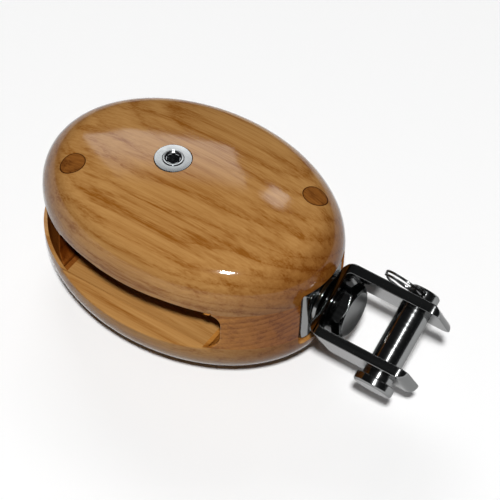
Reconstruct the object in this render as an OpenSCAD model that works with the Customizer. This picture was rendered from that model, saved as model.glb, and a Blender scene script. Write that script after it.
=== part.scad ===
/* [Shell] */
// Length of the wooden shell, along the swivel's axis
shell_l = 102; // [98:1:112]
// Width of the wooden shell, across the rope
shell_w = 75; // [72:1:84]
// Thickness of each cheek at its middle
cheek_t = 20.25; // [19:0.25:24]
// Radius of the shallow dome of each cheek
dome_r = 170; // [150:5:220]
// Radius of the rounded shoulder between a cheek's dome and its side
shoulder_r = 14; // [10:1:16]

/* [Rope slot] */
// Width of the slot between the cheeks
slot_w = 15.5; // [15.5:0.5:20]
// Length of the block between the cheeks at the swivel end
head_block_l = 20.5; // [20:0.5:24]
// Length of the block between the cheeks at the tail
tail_block_l = 20.5; // [20:0.5:24]
// Distance that the tail block is set in from the cheeks' edge all round
tail_set_in = 1.2; // [0.6:0.1:1.8]
// Radius of the fillets between the blocks and the cheeks
fillet_r = 5; // [2:0.5:5]
// Distance from the shell's side at which a cheek's lip begins to open
lip_w = 6.5; // [4:0.5:9]
// Depth that each lip has opened by at the shell's side
lip_depth = 1.75; // [0.5:0.25:2.5]

/* [Cheek screws] */
// Distance of the screws from the shell's ends
screw_in = 16.7; // [15:0.1:17]
// Distance of the screws from the shell's middle line
screw_off = 15.9; // [13.5:0.1:18]
// Diameter of the screws
screw_d = 4.5; // [3.5:0.1:5]
// Diameter of the screws' round heads
screw_head_d = 7.4; // [6:0.1:7.8]
// Height of the screws' round heads
screw_head_h = 2.6; // [2:0.1:3]
// Diameter of the wooden plugs over the screws
plug_d = 8; // [8:0.5:10]
// Wood left under each screw's head
screw_seat = 8; // [6:0.5:9]
// Depth of each screw's point in the far cheek
screw_bite = 8; // [6:0.5:10]
// Width and depth of the drive recess in a screw's head
drive_w = 2.6; // [2:0.1:3]

/* [Strap] */
// Width of the metal strap
strap_w = 21; // [18:0.5:22]
// Thickness of the metal strap
strap_t = 2.5; // [2:0.25:3]
// Outer radius of the strap's two bends
strap_bend_r = 3; // [2.5:0.25:3.5]
// Depth of the nose pocket that the strap's crown stands in
pocket_depth = 3.9; // [3.2:0.1:4.5]
// Gap between the pocket's side and the strap
pocket_side_gap = 2.2; // [1:0.1:3]
// Gap between the pocket's top and the strap
pocket_top_gap = 1.05; // [0.5:0.05:2]
// Radius of the pocket's corners
pocket_corner_r = 2; // [1:0.25:3]

/* [Axle] */
// Diameter of the axle's barrel
axle_d = 8; // [7:0.5:9]
// Diameter of the flanges at the axle's two ends
flange_d = 12; // [11:0.5:14]
// Thickness of the flanges
flange_t = 1.6; // [1.2:0.1:2]
// Diameter of the raised ring round the hex socket
raised_d = 6.5; // [6:0.1:8]
// Height of the raised ring
raised_h = 0.3; // [0.2:0.05:0.5]
// Width across the flats of the hex socket
socket_af = 4; // [3:0.5:5]
// Depth of the hex socket
socket_depth = 3.2; // [2:0.2:4]
// Diameter of the screw that closes the axle
axle_screw_d = 5; // [4:0.5:5]
// Length of the closing screw inside the barrel
axle_screw_l = 12; // [8:1:16]
// Wood and metal between the lower flange and the barrel's end
barrel_stop = 4; // [3:0.5:6]

/* [Sheave] */
// Diameter of the rope wheel
sheave_d = 42; // [36:1:43]
// Gap between the rope wheel and the tail block
sheave_gap = 1.8; // [1.4:0.1:3]
// Radius of the rope groove
groove_r = 6; // [5:0.25:6.25]
// Depth of the rope groove
groove_depth = 4; // [3:0.25:5]
// Radius of the wheel's rounded rims
rim_r = 1.6; // [1.4:0.1:2]
// Depth of the ring-shaped hollows in the wheel's sides
web_depth = 1.2; // [0.6:0.2:2]
// Width of the wheel's rim between the hollows and its edge
rim_w = 7; // [6:0.5:8]
// Outer diameter of the bush
bush_d = 11; // [10.5:0.5:12]
// Outer diameter of the wheel's hub and of the thrust washers
hub_d = 18; // [16:0.5:20]
// Thickness of the thrust washers
thrust_t = 0.8; // [0.5:0.1:1]

/* [Swivel] */
// Diameter of the swivel bolt's journal, in the clevis and the strap
journal_d = 10; // [8.5:0.5:10]
// Diameter of the swivel bolt's threaded end
bolt_d = 8; // [6:0.5:8]
// Width across the flats of the bolt's head
bolt_head_af = 16; // [14:0.5:16]
// Height of the hexagon of the bolt's head
bolt_head_h = 3.8; // [3:0.1:5]
// Diameter of the round seat under the hexagon
bolt_seat_d = 14; // [12:0.5:14]
// Height of the round seat under the hexagon
bolt_seat_h = 1.9; // [1.9:0.1:2.5]
// Angle by which the bolt is turned at rest
bolt_turn = 8; // [0:1:60]
// Width across the flats of the nut
nut_af = 13; // [12:0.5:13]
// Height of the nut
nut_h = 8; // [6.5:0.5:9]
// Height of the nylon ring inside the nut's end
insert_h = 2; // [1.5:0.1:2.5]
// Length of the bolt beyond the nut
bolt_tail = 0.8; // [0.4:0.1:1.2]
// Thickness of the washer behind the strap's crown
nut_washer_t = 1.2; // [0.8:0.1:1.6]
// Gap between that washer and the strap's arms
nut_washer_gap = 0.35; // [0.2:0.05:1]
// Diameter of the washer between the strap's crown and the clevis
swivel_washer_d = 17; // [15:0.5:18]
// Thickness of the washer between the strap's crown and the clevis
swivel_washer_t = 1.4; // [1:0.1:2]
// Width of the mortise that holds the nut
mortise_w = 17; // [16:0.5:19]

/* [Clevis] */
// Width of the clevis's bar
clevis_w = 21; // [18:0.5:24]
// Thickness of the clevis's bar
clevis_t = 3.2; // [2.5:0.1:4]
// Gap between the clevis's arms
clevis_gap = 18.7; // [16:0.1:22]
// Outer radius of the clevis's two bends
clevis_bend_r = 5.5; // [4.5:0.25:6]
// Distance from the clevis's base to the pin's axis
clevis_reach = 25.3; // [22:0.1:32]
// Length of the arms beyond the pin's axis
clevis_nose = 10.4; // [9:0.1:14]
// Radius of the corners of the arms' ends
clevis_corner_r = 3.5; // [2:0.5:8]
// Angle by which the clevis is turned on the swivel at rest
clevis_turn = 30; // [0:5:90]

/* [Clevis pin] */
// Diameter of the clevis pin
pin_d = 10; // [8:0.5:11]
// Diameter of the pin's head
pin_head_d = 13; // [12:0.5:16]
// Height of the pin's head
pin_head_h = 3; // [2:0.1:4]
// Gap between the pin's head and the arm at rest
pin_slack = 2.3; // [0.5:0.1:3]
// Distance from the ring's hole to the arm
ring_up = 1.6; // [1.6:0.05:3]
// Length of the pin beyond the ring's hole
pin_tail = 2.3; // [2.3:0.05:5]
// Width of the bevel at the pin's end
pin_bevel = 0.6; // [0.3:0.1:1]

/* [Split ring] */
// Gap between the pin's side and the middle of the ring's wire
ring_margin = 2.4; // [2:0.1:4]
// Diameter of the ring's wire
wire_d = 0.9; // [0.6:0.05:0.9]
// Distance between the middles of the ring's two turns
turn_pitch = 1.32; // [1.32:0.02:1.4]
// Angle by which the ring's free side is raised off the arm at rest
ring_rise = 6; // [4:1:60]
// Angle that each end of the wire stops short of the crossover
end_back = 30; // [24:2:40]
// Cross-sections of the wire in one turn
turn_steps = 24; // [24:1:36]

/* [Hidden] */
$fn = 96;

// Clearances
fit = 0.05;
seat_gap = 0.05;
wood_gap = 0.1;
play = 0.1;
ring_fit = 0.07;
lip_edge = 0.15;
mortise_gap = 0.8;
// A length that passes everything, for cuts
past = 200;

// Hexagons: the round end's share of the width across the flats, and the slope of the bevel
hex_end_ratio = 0.92;
hex_bevel = 30;

// The shell, about its own middle
half_l = shell_l / 2;
half_slot = slot_w / 2;
half_t = half_slot + cheek_t;
side_ratio = shell_w / shell_l;
shoulder_x = half_l - shoulder_r;
dome_z = half_t - dome_r;
shoulder_z = dome_z + sqrt(pow(dome_r - shoulder_r, 2) - pow(shoulder_x, 2));
meet = (dome_r + 1) / (dome_r - shoulder_r);
head_wall_x = half_l - head_block_l;
tail_wall_x = tail_block_l - half_l;
screw_x = half_l - screw_in;
lip_y = shell_w / 2 - lip_w;

// The sheave and its axle
side_play = 0.1;
sheave_w = slot_w - 2 * thrust_t - 4 * side_play;
axle_x = tail_wall_x + sheave_gap + sheave_d / 2;
flange_z = dome_z + sqrt(pow(dome_r, 2) - pow(axle_x, 2));

// The swivel, from the pocket's floor outwards
floor_x = half_l - pocket_depth;
crown_x = floor_x + strap_t;
swivel_washer_x = crown_x + play;
clevis_x = swivel_washer_x + swivel_washer_t + play;
bolt_head_x = clevis_x + clevis_t + play;
nut_x = floor_x - nut_washer_t - 2 * seat_gap - nut_h;
bolt_end_x = nut_x - bolt_tail;
mortise_x = bolt_end_x - mortise_gap;
pin_x = clevis_x + clevis_reach;
insert_d = 1.3 * bolt_d;

// The clevis pin and its ring, along the pin's axis
arm_y = clevis_gap / 2 + clevis_t;
ring_y = arm_y + ring_up;
pin_end_y = ring_y + pin_tail;
ring_r = pin_d / 2 + ring_margin;
ring_sag = ring_r - sqrt(pow(ring_r, 2) - pow(pin_d / 2, 2));
ring_slant = ring_r / sqrt(pow(ring_r, 2) - pow(pin_d / 2, 2));
ring_shift = (ring_sag + wire_d / 2 * (ring_slant - 1)) / 2;
ring_back = ring_r - ring_shift;
ring_hole_r = norm([ring_shift, turn_pitch / 2]) + wire_d / 2 + ring_fit;

wood = [0.74, 0.53, 0.28];
plug_wood = [0.62, 0.38, 0.17];
steel = [0.76, 0.77, 0.78];
dark_steel = [0.55, 0.56, 0.58];
acetal = [0.08, 0.08, 0.09];
bronze = [0.72, 0.50, 0.24];
nylon = [0.20, 0.35, 0.65];

// The origin is the middle of the clevis pin, on the swivel's axis
module about_pin() {
    translate([-pin_x, 0, 0]) children();
}

// Quarter outline of the round shell that is then narrowed to an oval
module shell_profile() {
    intersection() {
        translate([0, dome_z]) circle(dome_r, $fn = 720);
        polygon([[0, 0], [0, half_t + 1], [shoulder_x * meet, dome_z + (shoulder_z - dome_z) * meet],
            [shoulder_x, shoulder_z], [shoulder_x, 0]]);
    }
    intersection() {
        translate([shoulder_x, shoulder_z]) circle(shoulder_r);
        translate([shoulder_x - shoulder_r, 0]) square([2 * shoulder_r, half_t]);
    }
    square([half_l, shoulder_z]);
}

// Upper half of the oval domed shell
module shell_half() {
    for (turn = [0:90:270])
        scale([1, side_ratio, 1]) rotate(turn) rotate_extrude(angle = 90) shell_profile();
}

module along_x(x, d, l) {
    translate([x, 0, 0]) rotate([0, 90, 0]) cylinder(d = d, h = l);
}

// Rounded bar across the nose, for the pocket
module nose_pocket() {
    pocket_w = strap_w + 2 * pocket_side_gap;
    pocket_h = slot_w + 2 * strap_t + 2 * pocket_top_gap;
    for (y = [-1, 1], z = [-1, 1])
        translate([0, y * (pocket_w / 2 - pocket_corner_r), z * (pocket_h / 2 - pocket_corner_r)])
            along_x(floor_x, 2 * pocket_corner_r, past);
    translate([floor_x, pocket_corner_r - pocket_w / 2, -pocket_h / 2])
        cube([past, pocket_w - 2 * pocket_corner_r, pocket_h]);
    translate([floor_x, -pocket_w / 2, pocket_corner_r - pocket_h / 2])
        cube([past, pocket_w, pocket_h - 2 * pocket_corner_r]);
}

// Room for one arm of the strap in a cheek's inner face
module strap_recess() {
    recess_w = strap_w + 2 * wood_gap;
    translate([axle_x, 0, 0]) cylinder(d = recess_w, h = half_slot + strap_t + seat_gap);
    translate([axle_x, -recess_w / 2, 0])
        cube([past, recess_w, half_slot + strap_t + seat_gap]);
}

// The relief that opens a cheek's lips along the slot's two mouths
module lip_relief() {
    for (side = [0, 1]) mirror([0, side, 0])
        rotate([90, 0, 90]) linear_extrude(past, center = true)
            polygon([[lip_y, half_slot], [lip_y, 0], [past, 0],
                [past, half_slot + lip_depth / lip_w * (past - lip_y)]]);
}

// A cheek with its screws' heads on the diagonal that hand gives
module cheek(hand) {
    difference() {
        shell_half();
        translate([-past / 2, -past / 2, -1]) cube([past, past, half_slot + 1]);
        lip_relief();
        strap_recess();
        nose_pocket();
        translate([axle_x, 0, 0]) cylinder(d = axle_d + 2 * fit, h = past);
        translate([axle_x, 0, flange_z - flange_t]) cylinder(d = flange_d + 2 * fit, h = past);
        for (end = [-1, 1]) {
            translate([end * screw_x, end * hand * screw_off, 0]) {
                cylinder(d = screw_d + 2 * fit, h = past);
                translate([0, 0, half_slot + screw_seat]) cylinder(d = plug_d + 2 * fit, h = past);
            }
            translate([end * screw_x, -end * hand * screw_off, 0])
                cylinder(d = screw_d + 2 * fit, h = half_slot + screw_bite + seat_gap);
        }
    }
}

module upper_cheek() {
    color(wood) about_pin() cheek(1);
}

module lower_cheek() {
    color(wood) about_pin() mirror([0, 0, 1]) cheek(-1);
}

// A block's length in profile, with its end wall's fillets against both cheeks
module block_profile(length) {
    wall_x = half_l - length;
    difference() {
        translate([wall_x - fillet_r, -half_slot]) square([length + fillet_r, slot_w]);
        translate([wall_x - fillet_r, fillet_r + lip_edge - half_slot])
            square([fillet_r, slot_w - 2 * fillet_r - 2 * lip_edge]);
        for (side = [-1, 1])
            translate([wall_x - fillet_r, side * (half_slot - fillet_r - lip_edge)]) circle(fillet_r);
    }
}

// The oval bar between the cheeks, cut to a block with its wall and screw holes
module end_block(length, set_in) {
    half_bar = half_l - set_in;
    bar_ratio = (shell_w / 2 - set_in) / half_bar;
    difference() {
        intersection() {
            for (turn = [0:90:270])
                scale([1, bar_ratio, 1]) rotate(turn) rotate_extrude(angle = 90)
                    translate([0, -half_slot]) square([half_bar, slot_w]);
            rotate([90, 0, 0]) linear_extrude(past, center = true) block_profile(length);
        }
        for (side = [-1, 1])
            translate([screw_x, side * screw_off, 0])
                cylinder(d = screw_d + 2 * fit, h = past, center = true);
    }
}

module head_block() {
    color(wood) about_pin() difference() {
        end_block(head_block_l, 0);
        nose_pocket();
        translate([mortise_x, -mortise_w / 2, -past / 2]) cube([past, mortise_w, past]);
    }
}

module tail_block() {
    color(wood) about_pin() rotate(180) end_block(tail_block_l, tail_set_in);
}

// Two plugs, cut to the cheek's dome
module plugs(hand) {
    intersection() {
        shell_half();
        for (end = [-1, 1])
            translate([end * screw_x, end * hand * screw_off,
                half_slot + screw_seat + screw_head_h + seat_gap])
                cylinder(d = plug_d, h = past);
    }
}

module upper_plugs() {
    color(plug_wood) about_pin() plugs(1);
}

module lower_plugs() {
    color(plug_wood) about_pin() mirror([0, 0, 1]) plugs(-1);
}

// A round-headed wood screw with a cross drive, its head's seat at z = 0
module wood_screw() {
    shank_l = screw_seat + slot_w + screw_bite;
    point_l = screw_d;
    difference() {
        union() {
            intersection() {
                cylinder(d = screw_head_d, h = screw_head_h);
                translate([0, 0, screw_head_h - screw_head_d]) sphere(screw_head_d);
            }
            translate([0, 0, point_l - shank_l]) cylinder(d = screw_d, h = shank_l - point_l);
            translate([0, 0, -shank_l]) cylinder(d1 = 0.4, d2 = screw_d, h = point_l);
        }
        for (turn = [0, 90])
            rotate(turn) translate([-drive_w, -drive_w / 8, screw_head_h - drive_w / 2])
                cube([2 * drive_w, drive_w / 4, drive_w]);
    }
}

module cheek_screws() {
    color(dark_steel) about_pin() for (end = [-1, 1]) {
        translate([end * screw_x, end * screw_off, half_slot + screw_seat]) wood_screw();
        translate([end * screw_x, -end * screw_off, -half_slot - screw_seat])
            rotate([180, 0, 0]) wood_screw();
    }
}

module strap() {
    color(steel) about_pin() difference() {
        intersection() {
            rotate([90, 0, 0]) linear_extrude(strap_w, center = true) difference() {
                union() {
                    translate([axle_x - strap_w / 2, -half_slot - strap_t])
                        square([crown_x - strap_bend_r - axle_x + strap_w / 2, slot_w + 2 * strap_t]);
                    translate([axle_x, strap_bend_r - half_slot - strap_t])
                        square([crown_x - axle_x, slot_w + 2 * strap_t - 2 * strap_bend_r]);
                    for (side = [-1, 1])
                        translate([crown_x - strap_bend_r, side * (half_slot + strap_t - strap_bend_r)])
                            circle(strap_bend_r);
                }
                translate([-past, -half_slot]) square([past + floor_x, slot_w]);
            }
            union() {
                translate([axle_x, 0, 0]) cylinder(d = strap_w, h = past, center = true);
                translate([axle_x, -strap_w / 2, -past / 2]) cube([past, strap_w, past]);
            }
        }
        translate([axle_x, 0, 0]) cylinder(d = axle_d + 2 * fit, h = past, center = true);
        along_x(floor_x - 1, journal_d + 2 * fit, strap_t + 2);
    }
}

module hex_socket(top, depth) {
    translate([0, 0, top - depth])
        cylinder(r = socket_af / sqrt(3), h = depth + 1, $fn = 6);
}

// A flange with its raised ring, its top at z = 0
module flange() {
    translate([0, 0, -flange_t]) cylinder(d = flange_d, h = flange_t);
    translate([0, 0, -flange_t / 2]) cylinder(d = raised_d, h = flange_t / 2 + raised_h);
}

module axle_barrel() {
    barrel_l = 2 * flange_z - flange_t - barrel_stop;
    color(steel) about_pin() translate([axle_x, 0, flange_z]) difference() {
        union() {
            flange();
            translate([0, 0, -barrel_l]) cylinder(d = axle_d, h = barrel_l);
        }
        hex_socket(raised_h, socket_depth);
        translate([0, 0, -barrel_l - 1]) cylinder(d = axle_screw_d + 2 * fit, h = axle_screw_l + 2);
    }
}

module axle_screw() {
    shank_l = barrel_stop + flange_t + axle_screw_l;
    color(steel) about_pin() translate([axle_x, 0, -flange_z]) mirror([0, 0, 1]) difference() {
        union() {
            flange();
            translate([0, 0, -barrel_stop]) cylinder(d = axle_d, h = barrel_stop);
            translate([0, 0, -shank_l]) cylinder(d = axle_screw_d, h = shank_l);
        }
        hex_socket(raised_h, socket_depth);
    }
}

module sheave() {
    rim_x = sheave_d / 2;
    half_w = sheave_w / 2;
    color(acetal) about_pin() translate([axle_x, 0, 0]) rotate_extrude() difference() {
        union() {
            translate([bush_d / 2 + fit / 2, -half_w]) square([rim_x - rim_r - bush_d / 2, sheave_w]);
            translate([bush_d / 2 + 1, rim_r - half_w])
                square([rim_x - bush_d / 2 - 1, sheave_w - 2 * rim_r]);
            for (side = [-1, 1]) translate([rim_x - rim_r, side * (half_w - rim_r)]) circle(rim_r);
        }
        translate([rim_x - groove_depth + groove_r, 0]) circle(groove_r);
        for (side = [-1, 1])
            translate([hub_d / 2, side * half_w - web_depth])
                square([rim_x - rim_w - hub_d / 2, 2 * web_depth]);
    }
}

module sheave_bush() {
    color(bronze) about_pin() translate([axle_x, 0, 0]) difference() {
        cylinder(d = bush_d, h = sheave_w, center = true);
        cylinder(d = axle_d + 2 * fit, h = past, center = true);
    }
}

module thrust_washers() {
    color(steel) about_pin() for (side = [-1, 1])
        translate([axle_x, 0, side * (sheave_w / 2 + side_play + thrust_t / 2)]) difference() {
            cylinder(d = hub_d, h = thrust_t, center = true);
            cylinder(d = axle_d + 2 * fit, h = past, center = true);
        }
}

// A hexagon along +X from x, with its far corners bevelled to a round end
module hex_bar(x, height, af) {
    corner_d = 2 * af / sqrt(3);
    round_d = hex_end_ratio * af;
    bevel_h = (corner_d - round_d) * tan(hex_bevel);
    translate([x, 0, 0]) rotate([0, 90, 0]) intersection() {
        cylinder(d = corner_d, h = height, $fn = 6);
        union() {
            cylinder(d = 2 * af, h = height - bevel_h);
            translate([0, 0, height - bevel_h])
                cylinder(d1 = 2 * corner_d - round_d, d2 = round_d, h = bevel_h);
        }
    }
}

module swivel_bolt() {
    color(steel) about_pin() {
        rotate([bolt_turn, 0, 0]) hex_bar(bolt_head_x + bolt_seat_h, bolt_head_h, bolt_head_af);
        along_x(bolt_head_x, bolt_seat_d, bolt_seat_h + bolt_head_h / 2);
        along_x(floor_x, journal_d, bolt_head_x - floor_x + bolt_seat_h);
        along_x(bolt_end_x, bolt_d, floor_x - bolt_end_x + bolt_seat_h);
    }
}

// The nut, with two of its flats towards the strap's arms
module swivel_nut() {
    color(dark_steel) about_pin() difference() {
        translate([2 * nut_x + nut_h, 0, 0]) mirror([1, 0, 0])
            rotate([30, 0, 0]) hex_bar(nut_x, nut_h, nut_af);
        along_x(nut_x - 1, bolt_d + 2 * fit, nut_h + 2);
        along_x(nut_x - 1, insert_d, insert_h + 1);
    }
}

module nut_insert() {
    color(nylon) about_pin() difference() {
        along_x(nut_x, insert_d - 2 * fit, insert_h);
        along_x(nut_x - 1, bolt_d + 2 * fit, insert_h + 2);
    }
}

module nut_washer() {
    color(dark_steel) about_pin() difference() {
        along_x(nut_x + nut_h + seat_gap, slot_w - 2 * nut_washer_gap, nut_washer_t);
        along_x(nut_x, bolt_d + 2 * fit, past);
    }
}

module swivel_washer() {
    color(steel) about_pin() difference() {
        along_x(swivel_washer_x, swivel_washer_d, swivel_washer_t);
        along_x(swivel_washer_x - 1, journal_d + 2 * fit, swivel_washer_t + 2);
    }
}

// The clevis and its pin in the swivel's turned frame, with the pin along Y
module turned() {
    rotate([clevis_turn, 0, 0]) children();
}

module clevis() {
    corner_x = pin_x + clevis_nose - clevis_corner_r;
    flat_w = clevis_w - 2 * clevis_corner_r;
    inner_r = clevis_bend_r - clevis_t;
    base_x = clevis_x + clevis_t;
    color(steel) about_pin() turned() difference() {
        intersection() {
            linear_extrude(clevis_w, center = true) difference() {
                union() {
                    translate([clevis_x + clevis_bend_r, -arm_y]) square([past, 2 * arm_y]);
                    translate([clevis_x, clevis_bend_r - arm_y])
                        square([past, 2 * arm_y - 2 * clevis_bend_r]);
                    for (side = [-1, 1])
                        translate([clevis_x + clevis_bend_r, side * (arm_y - clevis_bend_r)])
                            circle(clevis_bend_r);
                }
                translate([base_x + inner_r, -clevis_gap / 2]) square([past, clevis_gap]);
                translate([base_x, inner_r - clevis_gap / 2])
                    square([past, clevis_gap - 2 * inner_r]);
                for (side = [-1, 1])
                    translate([base_x + inner_r, side * (clevis_gap / 2 - inner_r)])
                        circle(inner_r);
            }
            union() {
                for (side = [-1, 1])
                    translate([corner_x, 0, side * flat_w / 2]) rotate([90, 0, 0])
                        cylinder(r = clevis_corner_r, h = past, center = true);
                translate([clevis_x - 1, -past / 2, -clevis_w / 2])
                    cube([corner_x - clevis_x + 1, past, clevis_w]);
                translate([corner_x - 1, -past / 2, -flat_w / 2])
                    cube([clevis_corner_r + 1, past, flat_w]);
            }
        }
        along_x(clevis_x - 1, journal_d + 2 * fit, clevis_t + 2);
        translate([pin_x, 0, 0]) rotate([90, 0, 0])
            cylinder(d = pin_d + 2 * fit, h = past, center = true);
    }
}

module clevis_pin() {
    head_y = -arm_y - pin_slack - pin_head_h;
    color(steel) about_pin() turned() translate([pin_x, 0, 0]) difference() {
        rotate([-90, 0, 0]) union() {
            translate([0, 0, head_y]) rotate_extrude()
                polygon([[0, 0], [pin_head_d / 2 - pin_bevel, 0], [pin_head_d / 2, pin_bevel],
                    [pin_head_d / 2, pin_head_h], [0, pin_head_h]]);
            translate([0, 0, head_y + 1]) cylinder(d = pin_d, h = pin_end_y - pin_bevel - head_y - 1);
            translate([0, 0, pin_end_y - pin_bevel])
                cylinder(d1 = pin_d, d2 = pin_d - 2 * pin_bevel, h = pin_bevel);
        }
        translate([0, ring_y, 0]) cylinder(r = ring_hole_r, h = past, center = true);
    }
}

// The ring's wire runs along one turn, crosses over by one pitch and runs along the next
wire_from = end_back;
wire_to = 720 - end_back;
wire_steps = ceil(turn_steps * (wire_to - wire_from) / 360);
crossing = 2 * end_back;
function crossed(a) = min(1, max(0, (a - 360) / crossing + 0.5));
function wire_lift(a) = turn_pitch * (pow(crossed(a), 2) * (3 - 2 * crossed(a)) - 0.5);
// A point of the wire's middle line in the ring's own frame, with the hole at angle 180
function wire_point(a) = [ring_r * cos(a), wire_lift(a), ring_r * sin(a)];
wire_middle = [for (i = [0:wire_steps]) wire_point(wire_from + (wire_to - wire_from) * i / wire_steps)];

wire_sides = 6;
function wire_way(p, i) = let (q = p[min(i + 1, len(p) - 1)] - p[max(i - 1, 0)]) q / norm(q);
function wire_rim(p, i) = let (
    way = wire_way(p, i),
    out = [p[i][0], 0, p[i][2]] / norm([p[i][0], 0, p[i][2]]),
    up = cross(way, out) / norm(cross(way, out)),
    side = cross(up, way))
    [for (k = [0:wire_sides - 1]) p[i] + wire_d / 2 * (cos(360 * k / wire_sides) * side
        + sin(360 * k / wire_sides) * up)];

module wire_tube(p) {
    last = wire_sides * (len(p) - 1);
    walls = [for (i = [0:len(p) - 2], k = [0:wire_sides - 1])
        let (a = wire_sides * i + k, b = wire_sides * i + (k + 1) % wire_sides)
        each [[a, a + wire_sides, b], [b, a + wire_sides, b + wire_sides]]];
    ends = [for (k = [1:wire_sides - 2]) each [[0, k, k + 1], [last, last + k + 1, last + k]]];
    polyhedron([for (i = [0:len(p) - 1]) each wire_rim(p, i)], concat(walls, ends));
}

// Least gap of the wire to itself, between points at least a third of a turn apart
wire_gap = min([for (i = [0:len(wire_middle) - 1], j = [i + ceil(turn_steps / 3):1:len(wire_middle) - 1])
    norm(wire_middle[i] - wire_middle[j])]) - wire_d;
echo(wire_gap = wire_gap);

module split_ring() {
    color(dark_steel) about_pin() turned() translate([pin_x, ring_y, 0])
        rotate([0, 0, -ring_rise]) translate([-ring_back, 0, 0]) rotate([0, 180, 0])
            wire_tube(wire_middle);
}

upper_cheek();
lower_cheek();
head_block();
tail_block();
upper_plugs();
lower_plugs();
cheek_screws();
strap();
axle_barrel();
axle_screw();
sheave();
sheave_bush();
thrust_washers();
swivel_bolt();
swivel_nut();
nut_insert();
nut_washer();
swivel_washer();
clevis();
clevis_pin();
split_ring();
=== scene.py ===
import math

import bpy
from mathutils import Matrix, Vector


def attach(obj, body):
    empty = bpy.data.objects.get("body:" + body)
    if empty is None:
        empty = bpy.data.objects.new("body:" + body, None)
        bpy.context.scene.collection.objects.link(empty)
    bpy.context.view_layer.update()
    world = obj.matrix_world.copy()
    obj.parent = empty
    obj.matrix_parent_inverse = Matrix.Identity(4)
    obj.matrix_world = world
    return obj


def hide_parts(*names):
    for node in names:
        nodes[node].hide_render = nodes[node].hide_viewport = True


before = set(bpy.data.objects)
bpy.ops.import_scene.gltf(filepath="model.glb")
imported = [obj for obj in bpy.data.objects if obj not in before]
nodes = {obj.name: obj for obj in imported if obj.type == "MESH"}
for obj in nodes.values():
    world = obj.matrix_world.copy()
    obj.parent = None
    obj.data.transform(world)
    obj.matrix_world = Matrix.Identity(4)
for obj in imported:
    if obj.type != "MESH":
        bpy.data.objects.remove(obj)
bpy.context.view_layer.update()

# Camera
# The photograph is taken from the front right and above with a long lens. The place, aim and
# roll were found from the shell's outline, in the frame of the clevis pin.
MM = 0.001
SHELL_TO_PIN = 76.5
SHELL_MIDDLE = Vector((-SHELL_TO_PIN, 0, 0)) * MM
CAMERA_FROM_SHELL = Vector((301.1, -459.5, 603.7)) * MM
AIM_FROM_SHELL = Vector((18.0, 5.9, -3.2)) * MM
CAMERA_ROLL = math.radians(3.03)
LENS_MM, SENSOR_MM = 187.2, 36
NEAREST, FARTHEST = 0.05, 50


def deselect():
    bpy.ops.object.select_all(action="DESELECT")


deselect()
bpy.ops.object.camera_add(location=SHELL_MIDDLE + CAMERA_FROM_SHELL)
camera = bpy.context.object
camera.data.lens = LENS_MM
camera.data.sensor_width = SENSOR_MM
camera.data.clip_start = NEAREST
camera.data.clip_end = FARTHEST
look = AIM_FROM_SHELL - CAMERA_FROM_SHELL
camera.rotation_mode = "QUATERNION"
camera.rotation_quaternion = (look.to_track_quat("-Z", "Y")
                              @ Matrix.Rotation(CAMERA_ROLL, 3, "Z").to_quaternion())
bpy.context.scene.camera = camera
bpy.context.scene.view_settings.view_transform = "Standard"


# Floor and light
# White paper under the block, which the camera and the polish see white and which throws less
# light back. A small flash stands above the camera, the two panes of a window stand behind the
# block for the varnish to mirror, and the room is dim, darkest overhead.
FLOOR_DROP, FLOOR_SIZE = 28.6 * MM, 14
PAPER_BOUNCE, PAPER_SEEN = (0.22, 0.22, 0.22, 1), (0.99, 0.99, 0.99, 1)
PAPER_ROUGHNESS, PAPER_MIRROR = 0.9, 0.1
LAMP_DISTANCE = 3.0
FLASH_WAY = Vector((0.29, -0.47, 0.84)).normalized()
FLASH_SIZE, FLASH_POWER = 0.24, 92.0
WINDOW_WAY = Vector((-0.455, 0.556, 0.698)).normalized()
WINDOW_WIDTH, WINDOW_HEIGHT, WINDOW_POWER = 1.55, 1.4, 23.0
WINDOW_DARK_AT, WINDOW_BRIGHT_AT = 0.95, 0.35
PANE_WAY = Vector((-0.115, 0.69, 0.715)).normalized()
PANE_WIDTH, PANE_HEIGHT, PANE_POWER = 0.24, 0.42, 1.6
ROOM_COLOUR = (0.95, 0.98, 1.0, 1)
WALL_LEVEL, CEILING_LEVEL, WALL_TOP = 0.1, 0.02, 0.25


def feed(tree, node, inputs):
    """Gives a node's inputs, by name or number, their values or the links that feed them."""
    for key, value in inputs.items():
        if isinstance(value, bpy.types.NodeSocket):
            tree.links.new(value, node.inputs[key])
        else:
            node.inputs[key].default_value = value


def add_node(tree, kind, inputs=None, **settings):
    """One shader node, with its settings and with values or links for its inputs."""
    made = tree.nodes.new(kind)
    for key, value in settings.items():
        setattr(made, key, value)
    feed(tree, made, inputs or {})
    return made


def math_node(tree, operation, *values, use_clamp=False):
    """One Math node over one, two or three values or links."""
    return add_node(tree, "ShaderNodeMath", dict(enumerate(values)), operation=operation,
                    use_clamp=use_clamp).outputs[0]


def smooth_step(tree, value, low, high, at_low=0.0, at_high=1.0):
    """Passes smoothly from one level to another while the value goes from low to high."""
    return add_node(tree, "ShaderNodeMapRange",
                    {"Value": value, "From Min": low, "From Max": high,
                     "To Min": at_low, "To Max": at_high},
                    interpolation_type="SMOOTHSTEP").outputs[0]


def mix_colour(tree, factor, first, second, blend="MIX"):
    """The first colour, passing to the second or multiplied by it as the factor rises."""
    return add_node(tree, "ShaderNodeMix", {"Factor": factor, 6: first, 7: second},
                    data_type="RGBA", blend_type=blend).outputs[2]


def new_material(name, constants):
    """A material with the constants of its Principled shader, and its tree and that shader."""
    made = bpy.data.materials.new(name)
    made.use_nodes = True
    tree = made.node_tree
    shader = tree.nodes["Principled BSDF"]
    feed(tree, shader, constants)
    return made, tree, shader


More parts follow.
